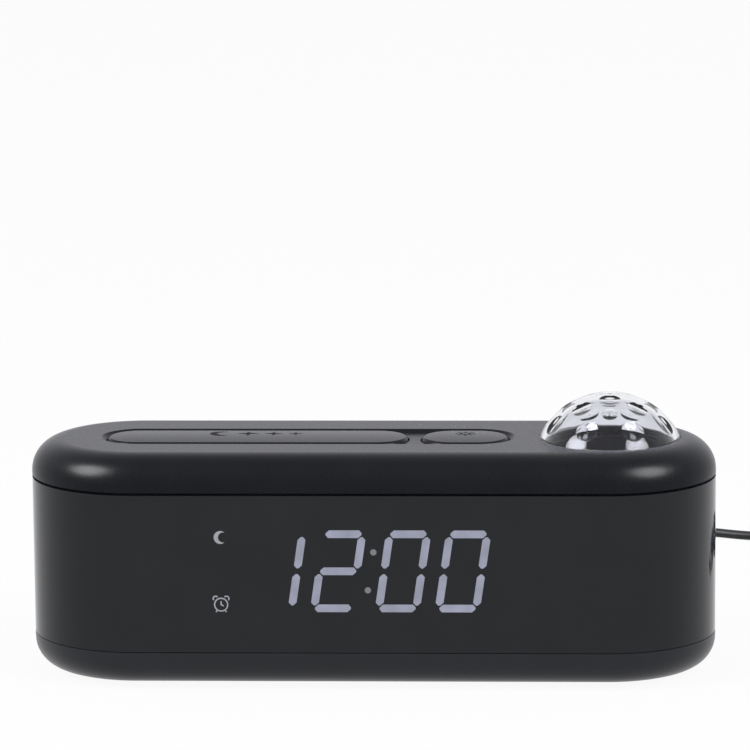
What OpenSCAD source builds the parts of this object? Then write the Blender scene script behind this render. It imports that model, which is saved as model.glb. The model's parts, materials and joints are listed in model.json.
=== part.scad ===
// Projection alarm clock: a long case with round ends, a gloss band, keys on top
// and at the rear, a hidden display and a clear dimpled dome over a small projector.
// X runs along the width, the front faces -Y, and the feet stand on Z = 0.

/* [Case] */
// Width across the top cover
body_w = 186; // [178:1:205]
// Depth across the top cover
body_d = 59; // [54:0.5:62]
// Height of the feet under the bottom shell
foot_h = 1; // [0.6:0.1:2]
// Height of the bottom shell's outside
bottom_h = 9.5; // [9:0.1:12]
// Height of the gloss band
band_h = 43.8; // [42:0.1:50]
// Height of the top cover's outside
top_h = 9.5; // [9.2:0.1:12]
// Rounding of the top cover's edge
top_round = 8.5; // [7:0.1:9.1]
// Rounding of the bottom shell's edge
bottom_round = 8; // [6:0.1:8.9]
// How far the band stands in from the top cover
band_inset = 0; // [0:0.1:0.8]
// Wall of the covers and the band
wall = 2; // [1.6:0.1:2.4]
// Shadow gap between the top cover and the band
seam_top = 0.7; // [0.1:0.1:1]
// Seam between the band and the bottom shell
seam = 0.2; // [0.1:0.05:0.4]
// Height of the lips that centre the band
lip_h = 2.2; // [1.5:0.1:3]
// Diameter of each foot
foot_d = 8; // [6:0.5:9]
// How deep each foot is let into the shell
foot_sunk = 0.8; // [0.5:0.1:1]
// Distance of each foot from the edge of the flat underside
foot_margin = 4; // [0.5:0.1:6]

/* [Top keys] */
// Length of the light button
light_w = 24; // [20:0.1:25]
// Depth of both top keys
key_d = 17.5; // [15:0.1:19]
// Strip of cover between the two top keys
key_gap = 3.3; // [3:0.1:4]
// Distance of the pocket from the end of the case
pocket_from_end = 18.9; // [17:0.1:20]
// Strip of cover between the pocket and the dome
dome_gap = 6.5; // [6:0.1:8]
// Width of the bevel round the pocket
pocket_bevel = 1.3; // [0.8:0.1:1.6]
// Depth of the pocket
pocket_depth = 1; // [0.8:0.1:1.4]
// How far the top keys stand above the cover
key_rise = 0.3; // [0.1:0.1:1]
// How much the tops of the top keys are domed across their depth
key_crown = 0.4; // [0.2:0.1:0.8]
// Rounding of the top keys' edge
key_round = 2; // [0.8:0.1:2.2]
// How far the top keys travel
top_travel = 0.6; // [0.3:0.1:0.8]

/* [Rear keys and ports] */
// Width of each rear key
rear_key_w = 11.8; // [10:0.1:12.4]
// Height of each rear key
rear_key_h = 7.3; // [6.5:0.1:8]
// Distance from one rear key to the next
rear_key_pitch = 17.75; // [17:0.05:18.5]
// Distance from the dome's middle to the alarm key
alarm_from_dome = 18.95; // [18:0.05:20]
// How far the rear keys' middle lies below the band's upper edge
rear_key_drop = 8.1; // [7.6:0.1:8.6]
// How far the rear keys stand out of the band
rear_key_proud = 0.3; // [0.1:0.1:0.4]
// How far the rear keys travel
rear_travel = 0.5; // [0.3:0.1:0.6]
// Margin of the ring round each rear key
ring_margin = 1; // [0.6:0.1:1.3]
// Depth of the ring round each rear key
ring_depth = 0.7; // [0.4:0.1:0.9]
// Distance from the last rear key to the USB-C input
usb_c_from_key = 21; // [19:0.1:22]
// How far the USB-C input lies below the band's upper edge
usb_c_drop = 7.1; // [6.8:0.1:7.6]
// Distance from the USB-C input to the USB-A output
port_pitch = 20.3; // [19:0.1:21]
// How far the USB-A output lies below the band's upper edge
usb_a_drop = 8.4; // [8:0.1:9]
// Depth of both port recesses
port_depth = 1.1; // [0.8:0.1:1.3]
// Distance of the USB-A output from the end of the flat rear face
usb_a_from_end = 14.2; // [13:0.1:18]

/* [Display] */
// Height of the digits
digit_h = 22.4; // [18:0.1:24]
// Width of a digit at its base
digit_w = 11.3; // [10:0.1:12]
// Width of a segment
seg_t = 2.1; // [1.6:0.1:2.4]
// Lean of the digits in degrees
digit_lean = 8.5; // [0:0.5:12]
// Distance between the digits of a pair
digit_pitch = 16; // [15.4:0.1:17]
// Extra distance at the colon
colon_space = 1.3; // [1:0.1:2.5]
// Middle of the time along the width
time_x = -1.1; // [-3:0.1:3]
// Place of the small signs along the width
sign_x = -41.1; // [-42:0.1:-40]
// Depth of the reflector block
reflector_d = 4.5; // [4.2:0.1:5]

/* [Projector] */
// Diameter of the dome
dome_d = 38.2; // [34:0.1:39]
// Height of the dome above the cover
dome_h = 12.1; // [10:0.1:15]
// Wall of the dome
dome_wall = 1.8; // [1.4:0.1:2.2]
// Distance of the dome's middle from the end of the case
dome_from_end = 28.8; // [28:0.1:31]
// Diameter of the dimples in the dome
dimple_d = 7.6; // [6:0.1:8.4]
// Depth of the dimples in the dome
dimple_depth = 0.7; // [0.4:0.1:0.9]
// Height of the projector cup
cup_h = 12; // [11:0.1:14]
// Thickness of the ripple disc
disc_t = 1.5; // [1:0.1:2]
// Diameter of the motor
motor_d = 16; // [12:0.5:18]
// Length of the motor
motor_h = 15; // [10:0.5:20]

/* [Boards] */
// Thickness of the circuit boards
board_t = 1.6; // [1:0.1:2]
// Height of the tact switches under the top keys
switch_h = 3.6; // [3:0.1:5]
// Diameter of the switch plungers
plunger_d = 3.4; // [2.4:0.1:3.8]

/* [Fasteners] */
// Diameter of the case screws
case_screw_d = 3; // [2.5:0.1:3.2]
// Length of the case screws
case_screw_l = 14; // [10:0.5:20]
// Diameter of the small screws
small_screw_d = 2; // [1.6:0.1:2.2]
// Outer diameter of the case posts
post_d = 6.2; // [6:0.1:6.6]

/* [Cable] */
// Diameter of the cord
cord_d = 2.7; // [2.5:0.1:3]
// Length of the USB-C grip
grip_l = 19; // [15:0.1:24]
// Length of the strain relief
relief_l = 9; // [6:0.5:12]

/* [Hidden] */

// Clearances: a push-together seat, a key in its hole, and parts that only pass each other
fit = 0.1;
key_clear = 0.25;
pass = 0.3;
eps = 0.5;

// The case from its outside in
r_case = body_d / 2;
r_band = r_case - band_inset;
r_in = r_band - wall;
band_w = body_w - 2 * band_inset;
in_w = band_w - 2 * wall;
end_x = body_w / 2 - r_case;
z_low = foot_h + bottom_h;
z_high = z_low + band_h;
z_top = z_high + top_h;
z_ceiling = z_top - wall;
z_floor = foot_h + wall;
lip_t = 1.2;
lip_root = 1;
rear_y = r_band;

// Feet stand on the flat part of the underside
foot_past_end = 2;
foot_x = end_x + foot_past_end;
foot_y = sqrt(pow(r_band - bottom_round, 2) - pow(foot_x - end_x, 2)) - foot_d / 2 - foot_margin;

// The dome's place
dome_x = body_w / 2 - dome_from_end;
dome_r = dome_d / 2;

// Top keys in their pocket: the snooze bar takes what the light button leaves
pocket_left = -body_w / 2 + pocket_from_end;
pocket_right = dome_x - dome_r - dome_gap;
pocket_w = pocket_right - pocket_left;
pocket_d = key_d + 2 * (key_clear + pocket_bevel);
pocket_x = (pocket_left + pocket_right) / 2;
snooze_w = pocket_w - key_gap - light_w - 2 * (key_clear + pocket_bevel);
snooze_x = pocket_left + pocket_bevel + key_clear + snooze_w / 2;
light_x = snooze_x + snooze_w / 2 + key_gap + light_w / 2;
tray_rim = 1.5;
z_tray = z_top - pocket_depth - wall;
key_lift = 0.2;
key_flange = 1.2;
key_lip = (key_gap - 0.9) / 2;
z_key_flange = z_tray - key_lift - key_flange;
key_wall = 1.6;
key_post_d = 3.8;

// Rear keys, from the dome's side to the ports: the row spreads with the flat of the rear face
alarm_x = dome_x - alarm_from_dome;
row_room = alarm_x + end_x - usb_a_from_end;
row_share = row_room / (3 * rear_key_pitch + usb_c_from_key + port_pitch);
setting_x = alarm_x - row_share * rear_key_pitch;
down_x = setting_x - row_share * rear_key_pitch;
up_x = down_x - row_share * rear_key_pitch;
z_rear_key = z_high - rear_key_drop;
rear_lip = 0.9;
rear_flange_t = 1.2;
y_rear_flange = r_in - key_lift - rear_flange_t;
rear_stem = 1;
rear_key_round = 0.9;

// Ports
usb_c_x = up_x - row_share * usb_c_from_key;
usb_a_x = usb_c_x - row_share * port_pitch;
usb_c_w = 8.94;
usb_c_h = 3.2;
usb_c_wall = 0.3;
usb_c_deep = 7.4;
usb_a_w = 13.1;
usb_a_h = 5.7;
usb_a_wall = 0.3;
usb_a_deep = 14;
z_usb_c = z_high - usb_c_drop;
z_usb_a = z_high - usb_a_drop;
y_port = rear_y - port_depth;
y_mouth = y_port - fit;
port_clear = 0.2;
recess_c = [14, 8];
recess_a = [20.5, 10];

// Display
y_mask = -r_in + fit;
mask_t = 0.3;
y_reflector = y_mask + mask_t;
y_display_board = y_reflector + reflector_d;
y_display_back = y_display_board + board_t;
digits_lift = 0.6;
z_digits = (z_low + z_high) / 2 + digits_lift;
digit_xs = [
    time_x - colon_space / 2 - 1.5 * digit_pitch,
    time_x - colon_space / 2 - 0.5 * digit_pitch,
    time_x + colon_space / 2 + 0.5 * digit_pitch,
    time_x + colon_space / 2 + 1.5 * digit_pitch
];
colon_x = time_x;
colon_d = 2;
colon_half = 5.2;
sign_w = 4.6;
sign_h = 4.6;
z_sign_up = z_digits + 9.2;
z_sign_low = z_digits - 9;
guide_t = 2.4;
guide_fit = 0.05;
seg_gap = 0.3;
block_margin = 3.2;
block_x0 = sign_x - sign_w / 2 - block_margin;
block_x1 = digit_xs[3] + digit_w / 2 + digit_h / 2 * tan(digit_lean) + block_margin;
block_h = digit_h + 2 * block_margin;
edge = 2;
display_x0 = block_x0 - edge;
display_x1 = block_x1 + edge;
display_z0 = z_digits - block_h / 2 - edge;
display_z1 = z_digits + block_h / 2 + edge;
rail_w = 3.2;
rail_wall = 1.5;
rail_bite = 1.2;

// Main board, hung under the top cover with its rear edge behind the ports
z_board = z_usb_a - usb_a_h / 2;
board_edge = 1;
board_step = 2;
board_past_key = 4.7;
switch_w = 6.2;
switch_share = 0.23;
snooze_switches = [for (s = [-1, 1]) snooze_x + s * snooze_w * switch_share];
board_x0 = min(usb_a_x - usb_a_w / 2, snooze_switches[0] - switch_w / 2) - board_edge;
board_x1 = alarm_x + board_past_key;
board_y0 = y_display_back + board_step;
board_y1 = y_rear_flange - rear_travel - 0.9;
boss_d = 4.8;
boss_y = key_d / 2 + key_lip + boss_d / 2 + 0.7;
bosses = [
    [board_x0 + boss_d / 2 + 0.4, -boss_y],
    [(usb_a_x + usb_c_x) / 2, boss_y],
    [pocket_right + boss_d / 2 + 0.5, -boss_d / 2 - 4.6],
    [pocket_right + boss_d / 2 + 0.5, boss_d / 2 + 4.6]
];
small_head_d = small_screw_d * 1.8;
small_head_h = small_screw_d * 0.65;
small_screw_l = 6;

// Switches
plunger_show = 1.2;
plunger_sunk = 1;
rear_switch_d = 3;
y_plunger = y_rear_flange - rear_stem;
y_rear_switch = y_plunger - plunger_show;
z_top_plunger = z_board + switch_h + plunger_show;

// Joint of the case posts
joint_rise = 20;
z_joint = z_low + joint_rise;
case_head_h = case_screw_d * 0.65;
screw_bite = 6;
z_case_head = z_joint - (case_screw_l - screw_bite);

// Projector
sphere_r = (pow(dome_r, 2) + pow(dome_h, 2)) / (2 * dome_h);
z_sphere = z_top + dome_h - sphere_r;
dome_flange = 1.2;
dome_flange_r = dome_r + 1.2;
z_flange = z_ceiling - dome_flange;
cup_wall = 1.6;
cup_r = dome_flange_r - 1.8;
cup_in = cup_r - cup_wall;
z_cup = z_flange - cup_h;
z_cup_floor = z_cup + cup_wall;
ear_drop = 3.8;
ear_t = 2.4;
ear_r = 2.8;
ear_reach = cup_r + ear_r + 0.6;
ear_y = min(ear_reach, r_in - fit - lip_t - ear_r - 0.2);
ear_x = -sqrt(pow(ear_reach, 2) - pow(ear_y, 2));
ear_root = 0.81;
z_ear = z_flange - ear_drop;
projector_board_r = cup_in - 1.4;
led_ring = 8;
led_w = 3.4;
led_h = 1.4;
shaft_d = 2;
shaft_clear = 0.05;
disc_r = cup_in - 1.2;
hub_d = 5;
z_disc = z_cup_floor + board_t + led_h + 1.6;
hub_h = 1.4;
collar_wall = 1.4;

// Case posts: one pair beside the projector's cup, one pair in the far end, all of them
// on the flat of the underside
case_head_d = case_screw_d * 1.8;
post_r = post_d / 2;
post_gap = 0.5;
post_flat = r_band - bottom_round - case_head_d / 2 - 0.7;
post_y = min(post_flat, y_rear_switch - rear_switch_d - post_r - 0.15);
post_x = dome_x - sqrt(pow(cup_r + post_r + post_gap, 2) - pow(post_y, 2));
post_angle = 22;
posts = [
    [post_x, post_y],
    [post_x, -post_y],
    [-end_x - post_flat * cos(post_angle), post_flat * sin(post_angle)],
    [-end_x - post_flat * cos(post_angle), -post_flat * sin(post_angle)]
];

// Wires from the motor to the plug on the main board
wire_d = 1;
wire_pitch = 2;
wire_l = 6.5;
wire_plug_h = 4;
wire_plug_w = 7;
wire_plug_l = 4.5;
z_wires = z_board + wire_plug_h / 2;

// The collar that holds the motor stops above the wires
collar_h = z_cup - z_wires - wire_d / 2 - pass;

// Cable, plugged into the USB-C input
tip_w = 8.25;
tip_h = 2.4;
tip_l = 6.5;
tip_wall = 0.6;
grip_w = 11;
grip_h = 6.2;
y_grip = y_port + 0.1;
y_relief = y_grip + grip_l;
relief_d = 4.6;
coil_turn_r = 15.8;
coil_rows = 4;
coil_layers = 2;
coil_x = 140;
coil_y = 140;
tie_t = 0.6;
tie_w = 6;
tie_gap = 0.7;
tail_l = 8;
end_grip = [15.4, 24, 8];
end_shell = [12, 18.5, 4.5];
end_shell_wall = 0.4;
end_shell_back = 4;
end_relief_l = 6;

// The cord's way from the relief down to the table and along it to the coil
cord_points = [
    [-29, 56.5, 47.2], [-29, 62.3, 46.8], [-28.8, 69, 45], [-28.3, 76.7, 40.7], [-27.4, 84.9, 33.9],
    [-26, 93, 26], [-24, 101, 18.2], [-21, 109, 11.2], [-16.6, 117, 5.7], [-10.6, 125, 2.4],
    [-3, 131.9, 1.4], [7, 138.8, 1.4], [19, 145.4, 1.4], [32, 151.2, 1.4], [46, 156.3, 1.4],
    [60, 160, 1.4], [73, 161.7, 1.4], [85, 161.2, 1.4], [95.5, 158.5, 1.4], [105, 154.4, 1.4],
    [114.5, 152, 1.5], [124, 153.9, 1.7], [132, 157.9, 1.9]
];
cord_steps = 2;
cord_sides = 8;

// ---------------------------------------------------------------- shapes

// Flat outline with round ends, w along X
module pill2d(w, d) {
    square([w - d, d], center = true);
    for (s = [-1, 1])
        translate([s * (w - d) / 2, 0])
            circle(d = d, $fn = 96);
}

module pill(w, d, h) {
    linear_extrude(h)
        pill2d(w, d);
}

// Pill whose side follows the half profile given as its child, w by d at the profile's widest
module pill_turn(w, d) {
    l = w - d;
    for (s = [0, 180])
        rotate([0, 0, s])
            translate([l / 2, 0, 0])
                rotate_extrude(angle = 180, start = -90, $fn = 96)
                    children();
    rotate([90, 0, 90])
        translate([0, 0, -l / 2])
            linear_extrude(l) {
                children();
                mirror([1, 0])
                    children();
            }
}

// Half profile of height h and half width r, with its upper outer corner rounded by f
module round_top2d(r, h, f) {
    square([r - f, h]);
    square([r, h - f]);
    translate([r - f, h - f])
        intersection() {
            circle(f, $fn = 64);
            square(f);
        }
}

// Half profile with its lower outer corner rounded
module round_bottom2d(r, h, f) {
    translate([0, h])
        mirror([0, 1])
            round_top2d(r, h, f);
}

// Turns something drawn along +Z to face out of the rear of the case at x, z, from y
module at_rear(x, y, z) {
    translate([x, y, z])
        rotate([-90, 0, 0])
            children();
}

module screw(d, l, head_d, head_h) {
    cylinder(d = d, h = l, $fn = 32);
    translate([0, 0, -head_h])
        difference() {
            cylinder(d = head_d, h = head_h, $fn = 32);
            for (a = [0, 90])
                rotate([0, 0, a])
                    translate([-head_d * 0.3, -head_d * 0.08, -eps])
                        cube([head_d * 0.6, head_d * 0.16, head_h * 0.5 + eps]);
        }
}

// ---------------------------------------------------------------- case

module top_outside() {
    translate([0, 0, z_high])
        pill_turn(body_w, body_d)
            round_top2d(r_case, top_h, top_round);
}

module top_inside() {
    translate([0, 0, z_high - eps])
        pill_turn(body_w - 2 * wall, body_d - 2 * wall)
            round_top2d(r_case - wall, top_h - wall + eps, top_round - wall);
}

// Lip that centres the band, standing up from z = 0 on a root that runs into the cover's wall
module lip() {
    difference() {
        union() {
            pill(in_w - 2 * fit, 2 * (r_in - fit), lip_h);
            translate([0, 0, -lip_root])
                pill(in_w + wall, 2 * r_in + wall, lip_root);
        }
        translate([0, 0, -lip_root - eps])
            pill(in_w - 2 * (fit + lip_t), 2 * (r_in - fit - lip_t), lip_h + lip_root + 2 * eps);
    }
}

module pocket_cut() {
    translate([pocket_x, 0, z_top - pocket_depth])
        pill_turn(pocket_w, pocket_d)
            polygon([
                [0, 0],
                [pocket_d / 2 - pocket_bevel, 0],
                [pocket_d / 2, pocket_depth],
                [pocket_d / 2, pocket_depth + eps],
                [0, pocket_depth + eps]
            ]);
}

module key_hole(x, w) {
    translate([x, 0, z_tray - eps])
        pill(w + 2 * key_clear, key_d + 2 * key_clear, wall + pocket_depth + eps * 2);
}

// Ear on side s of the cup, at a share of its reach
module ear_at(s, share = 1) {
    translate([dome_x + share * ear_x, s * share * ear_y, 0])
        children();
}

module top_cover() {
    color("#2b2c31")
        difference() {
            union() {
                difference() {
                    top_outside();
                    top_inside();
                }
                translate([0, 0, z_high])
                    mirror([0, 0, 1])
                        lip();
                intersection() {
                    top_outside();
                    union() {
                        translate([pocket_x, 0, z_tray])
                            pill(pocket_w + 2 * tray_rim, pocket_d + 2 * tray_rim, z_ceiling - z_tray + eps);
                        for (s = [-1, 1])
                            ear_at(s)
                                translate([0, 0, z_ear])
                                    cylinder(r = ear_r, h = z_ceiling - z_ear + eps, $fn = 32);
                    }
                }
                for (p = posts)
                    translate([p[0], p[1], z_joint])
                        cylinder(r = post_r, h = z_ceiling - z_joint, $fn = 40);
                for (b = bosses)
                    translate([b[0], b[1], z_board])
                        cylinder(d = boss_d, h = z_ceiling - z_board + eps, $fn = 32);
            }
            pocket_cut();
            key_hole(snooze_x, snooze_w);
            key_hole(light_x, light_w);
            translate([dome_x, 0, z_flange - eps])
                cylinder(r = dome_r + fit, h = z_top - z_flange + 2 * eps, $fn = 128);
            translate([dome_x, 0, z_flange - eps])
                cylinder(r = dome_flange_r + fit, h = dome_flange + eps, $fn = 128);
            for (p = posts)
                translate([p[0], p[1], z_joint - eps])
                    cylinder(d = case_screw_d + fit, h = screw_bite + 2 + eps, $fn = 32);
            for (b = bosses)
                translate([b[0], b[1], z_board - eps])
                    cylinder(d = small_screw_d + fit, h = small_screw_l + 1 + eps, $fn = 32);
            for (s = [-1, 1])
                ear_at(s)
                    translate([0, 0, z_ear - eps])
                        cylinder(d = small_screw_d + fit, h = small_screw_l - ear_t + 0.6 + eps, $fn = 32);
        }
}

module band_sleeve() {
    color("#17181c")
        difference() {
            translate([0, 0, z_low + seam])
                pill(band_w, 2 * r_band, band_h - seam - seam_top);
            translate([0, 0, z_low])
                pill(in_w, 2 * r_in, band_h);
            for (x = [alarm_x, setting_x, down_x, up_x]) {
                at_rear(x, rear_y - ring_depth, z_rear_key)
                    pill(rear_key_w + 2 * ring_margin, rear_key_h + 2 * ring_margin, wall);
                at_rear(x, r_in - eps, z_rear_key)
                    pill(rear_key_w + 2 * key_clear, rear_key_h + 2 * key_clear, wall);
            }
            at_rear(usb_c_x, y_port, z_usb_c)
                port_recess_c();
            at_rear(usb_c_x, r_in - eps, z_usb_c)
                pill(usb_c_w + 2 * port_clear, usb_c_h + 2 * port_clear, wall);
            at_rear(usb_a_x, y_port, z_usb_a)
                linear_extrude(wall)
                    square(recess_a, center = true);
            at_rear(usb_a_x, r_in - eps, z_usb_a)
                linear_extrude(wall)
                    square([usb_a_w + 2 * port_clear, usb_a_h + 2 * port_clear], center = true);
        }
}

// Recess with sloping corners round the USB-C input
module port_recess_c() {
    w = recess_c[0] / 2;
    h = recess_c[1] / 2;
    c = h * 0.62;
    linear_extrude(wall)
        polygon([
            [-w, -h + c], [-w + c, -h], [w - c, -h], [w, -h + c],
            [w, h - c], [w - c, h], [-w + c, h], [-w, h - c]
        ]);
}

module bottom_shell() {
    color("#2c2d32")
        difference() {
            union() {
                difference() {
                    translate([0, 0, foot_h])
                        pill_turn(band_w, 2 * r_band)
                            round_bottom2d(r_band, bottom_h, bottom_round);
                    translate([0, 0, z_floor])
                        pill_turn(in_w, 2 * r_in)
                            round_bottom2d(r_in, bottom_h, bottom_round - wall);
                }
                translate([0, 0, z_low])
                    lip();
                for (p = posts)
                    translate([p[0], p[1], z_floor - wall / 2])
                        cylinder(r = post_r, h = z_joint - z_floor + wall / 2, $fn = 40);
                display_rail(display_x0, 1);
                display_rail(display_x1, -1);
            }
            for (p = posts) {
                translate([p[0], p[1], foot_h - eps])
                    cylinder(d = case_head_d + 2 * pass, h = z_case_head - foot_h + eps, $fn = 40);
                translate([p[0], p[1], foot_h])
                    cylinder(d = case_screw_d + pass, h = z_joint, $fn = 32);
            }
            for (x = [-foot_x, foot_x], y = [-foot_y, foot_y])
                translate([x, y, foot_h - eps])
                    cylinder(d = foot_d + fit, h = foot_sunk + eps, $fn = 40);
        }
}

// Upright with a slot for the display board's edge; s points from the edge into the board
module display_rail(x, s) {
    translate([x - s * (rail_w - rail_bite) + min(0, s) * rail_w, y_display_board - rail_wall, z_floor - wall / 2])
        difference() {
            cube([rail_w, board_t + 2 * rail_wall, display_z1 - z_floor - 2]);
            translate([s > 0 ? rail_w - rail_bite - fit : -eps, rail_wall - fit, display_z0 - z_floor + wall / 2])
                cube([rail_bite + fit + eps, board_t + 2 * fit, display_z1]);
        }
}

module rubber_feet() {
    color("#1b1b1c")
        for (x = [-foot_x, foot_x], y = [-foot_y, foot_y])
            translate([x, y, 0])
                cylinder(d = foot_d, h = foot_h + foot_sunk, $fn = 40);
}

module case_screws() {
    color("silver")
        for (p = posts)
            translate([p[0], p[1], z_case_head])
                screw(case_screw_d, case_screw_l, case_head_d, case_head_h);
}

// ---------------------------------------------------------------- keys

// Half profile of a top key: a rounded edge and a slightly domed top
module key_half2d(h) {
    crown_r = (pow(key_d / 2, 2) + pow(key_crown, 2)) / (2 * key_crown);
    intersection() {
        round_top2d(key_d / 2, h, key_round);
        translate([0, h - crown_r])
            circle(crown_r, $fn = 360);
    }
}

// Key cap with a flange below the cover and posts down to its switches at the given places
module top_key(x, w, switches) {
    h = z_top + key_rise - z_key_flange;
    translate([x, 0, z_key_flange])
        difference() {
            union() {
                pill_turn(w, key_d)
                    key_half2d(h);
                pill(w + 2 * key_lip, key_d + 2 * key_lip, key_flange);
            }
            translate([0, 0, -eps])
                pill(w - 2 * key_wall, key_d - 2 * key_wall, h - key_wall - key_round / 2 + eps);
        }
    for (sx = switches)
        translate([sx, 0, z_top_plunger])
            cylinder(d = key_post_d, h = z_top + key_rise - key_wall - z_top_plunger, $fn = 32);
}

module snooze_bar() {
    color("#26272b")
        top_key(snooze_x, snooze_w, snooze_switches);
}

module light_button() {
    color("#26272b")
        top_key(light_x, light_w, [light_x]);
}

module rear_key(x) {
    y1 = rear_y + rear_key_proud;
    color("#303136")
        at_rear(x, y_plunger, z_rear_key) {
            cylinder(d = key_post_d, h = rear_stem + eps, $fn = 32);
            translate([0, 0, rear_stem])
                pill(rear_key_w + 2 * rear_lip, rear_key_h + 2 * rear_lip, rear_flange_t);
            translate([0, 0, rear_stem])
                pill_turn(rear_key_w, rear_key_h)
                    round_top2d(rear_key_h / 2, y1 - y_rear_flange, rear_key_round);
        }
}

module alarm_button() {
    rear_key(alarm_x);
}

module setting_button() {
    rear_key(setting_x);
}

module down_button() {
    rear_key(down_x);
}

module up_button() {
    rear_key(up_x);
}

// ---------------------------------------------------------------- switches

module plunger() {
    cylinder(d = plunger_d, h = plunger_show + plunger_sunk, $fn = 32);
}

module top_plunger(x) {
    color("#d8d2c0")
        translate([x, 0, z_board + switch_h - plunger_sunk])
            plunger();
}

module snooze_plungers() {
    for (sx = snooze_switches)
        top_plunger(sx);
}

module light_plunger() {
    top_plunger(light_x);
}

module rear_plunger(x) {
    color("#d8d2c0")
        at_rear(x, y_rear_switch - plunger_sunk, z_rear_key)
            plunger();
}

module alarm_plunger() {
    rear_plunger(alarm_x);
}

module setting_plunger() {
    rear_plunger(setting_x);
}

module down_plunger() {
    rear_plunger(down_x);
}

module up_plunger() {
    rear_plunger(up_x);
}

// Hole that the plunger sinks into, with room below it for the travel
module plunger_hole(travel) {
    translate([0, 0, -plunger_sunk - travel - fit])
        cylinder(d = plunger_d + 0.1, h = plunger_sunk + travel + fit + eps, $fn = 32);
}

module top_switches() {
    color("#3a3a3c")
        for (x = concat(snooze_switches, [light_x]))
            difference() {
                translate([x - switch_w / 2, -switch_w / 2, z_board])
                    cube([switch_w, switch_w, switch_h]);
                translate([x, 0, z_board + switch_h])
                    plunger_hole(top_travel);
            }
}

module rear_switches() {
    color("#3a3a3c")
        for (x = [alarm_x, setting_x, down_x, up_x])
            difference() {
                translate([x - switch_w / 2, y_rear_switch - rear_switch_d, z_board])
                    cube([switch_w, rear_switch_d, z_rear_key - z_board + switch_w / 2]);
                at_rear(x, y_rear_switch, z_rear_key)
                    plunger_hole(rear_travel);
            }
}

// ---------------------------------------------------------------- main board

module main_board() {
    color("#1f5a3a")
        difference() {
            translate([board_x0, board_y0, z_board - board_t])
                cube([board_x1 - board_x0, board_y1 - board_y0, board_t]);
            for (b = bosses)
                translate([b[0], b[1], z_board - board_t - eps])
                    cylinder(d = small_screw_d + 2 * pass, h = board_t + 2 * eps, $fn = 32);
            for (p = posts)
                translate([p[0], p[1], z_board - board_t - eps])
                    cylinder(r = post_r + post_gap, h = board_t + 2 * eps, $fn = 40);
        }
}

module board_screws() {
    color("silver")
        for (b = bosses)
            translate([b[0], b[1], z_board - board_t])
                screw(small_screw_d, small_screw_l, small_head_d, small_head_h);
}

module under_board(x, y, h) {
    translate([x, y, z_board - board_t - h])
        children();
}

cell_d = 20;
cell_h = 3.2;
cell_step = 0.5;
cell_floor = 1;
cell_wall = 1.5;
cell_slot = 8;
cell_from_edge = 17;
cell_x = board_x0 + cell_from_edge;
cell_y = -2;

chip = [14, 10, 1.6];
chip_from_cell = 9;
chip_x = cell_x + cell_d / 2 + cell_wall + chip_from_cell + chip[0] / 2;
chip_y = 3;

module clock_chip() {
    color("#202022")
        under_board(chip_x - chip[0] / 2, chip_y - chip[1] / 2, chip[2])
            cube(chip);
}

cap_d = 5;
cap_h = 10;
cap_rim = 0.7;
cap_dip = 0.4;
cap_x = usb_a_x + 4.3;
cap_y = min(boss_y - boss_d / 2, y_mouth - usb_a_deep) - cap_d / 2 - 0.6;

module capacitors() {
    color("#2d3a66")
        for (y = [-cap_y, cap_y])
            translate([cap_x, y, z_board])
                difference() {
                    cylinder(d = cap_d, h = cap_h, $fn = 32);
                    translate([0, 0, cap_h - cap_dip])
                        cylinder(d = cap_d - 2 * cap_rim, h = cap_dip + eps, $fn = 32);
                }
}

buzzer_d = 12;
buzzer_h = 7;
buzzer_hole = 2;
buzzer_shift = 5;
buzzer_x = light_x - buzzer_shift;
buzzer_y = 4;

module buzzer() {
    color("#1c1c1e")
        under_board(buzzer_x, buzzer_y, buzzer_h)
            difference() {
                cylinder(d = buzzer_d, h = buzzer_h, $fn = 48);
                translate([0, 0, -eps])
                    cylinder(d = buzzer_hole, h = buzzer_hole + eps, $fn = 24);
            }
}

module cell_holder() {
    color("#33343a")
        under_board(cell_x, cell_y, cell_h + cell_floor)
            difference() {
                cylinder(d = cell_d + 2 * cell_wall, h = cell_h + cell_floor, $fn = 64);
                translate([0, 0, -eps])
                    cylinder(d = cell_d + 2 * fit, h = cell_h + eps, $fn = 64);
                translate([-cell_slot / 2, -cell_d, -eps])
                    cube([cell_slot, cell_d, cell_h + eps]);
            }
}

module backup_cell() {
    color("silver")
        under_board(cell_x, cell_y, cell_h + cell_floor) {
            cylinder(d = cell_d - 4 * cell_step, h = cell_h, $fn = 64);
            translate([0, 0, cell_step])
                cylinder(d = cell_d, h = cell_h - cell_step, $fn = 64);
        }
}

// ---------------------------------------------------------------- ports

module usb_c_shell() {
    color("silver")
        at_rear(usb_c_x, y_mouth - usb_c_deep, z_usb_c)
            difference() {
                pill(usb_c_w, usb_c_h, usb_c_deep);
                translate([0, 0, usb_c_wall])
                    pill(usb_c_w - 2 * usb_c_wall, usb_c_h - 2 * usb_c_wall, usb_c_deep);
            }
}

usb_c_tongue_w = 6.6;
usb_c_tongue_h = 0.7;

module usb_c_tongue() {
    color("#1c1c1e")
        at_rear(usb_c_x, y_mouth - usb_c_deep + usb_c_wall, z_usb_c)
            translate([-usb_c_tongue_w / 2, -usb_c_tongue_h / 2, 0])
                cube([usb_c_tongue_w, usb_c_tongue_h, usb_c_deep - usb_c_wall - 0.9]);
}

// Block that lifts the USB-C input above the board
module usb_c_riser() {
    w = usb_c_w - usb_c_h;
    color("#1c1c1e")
        translate([usb_c_x - w / 2, y_mouth - usb_c_deep, z_board])
            cube([w, board_y1 - y_mouth + usb_c_deep, z_usb_c - usb_c_h / 2 - z_board]);
}

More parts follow.
